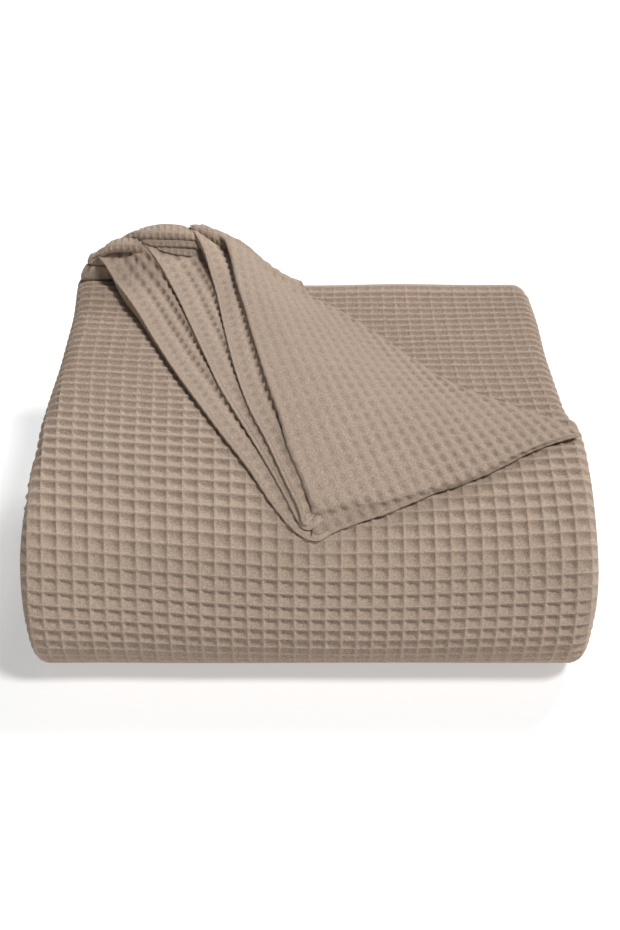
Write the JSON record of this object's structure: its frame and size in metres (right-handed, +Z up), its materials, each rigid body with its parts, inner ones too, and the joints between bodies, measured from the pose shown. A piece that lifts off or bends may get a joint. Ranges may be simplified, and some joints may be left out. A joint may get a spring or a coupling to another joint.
{
  "type": "folded blanket",
  "caption": "Waffle weave cotton blanket folded into a soft rounded pad, with its top end drawn forward as a flap gathered into a fan of pleats on one side.",
  "frame": {"origin": "on the surface it lies on, under the middle of its bounding box", "axes": "+Z up, -Y toward the big rounded fold at the front, +X to the right as seen from the front"},
  "size_m": [0.3694, 0.307, 0.2055],
  "materials": {
    "waffle_cotton": "matte taupe waffle weave with a soft raised grid"
  },
  "bodies": {
    "root": {"blanket": "waffle_cotton"}
  },
  "joints": []
}
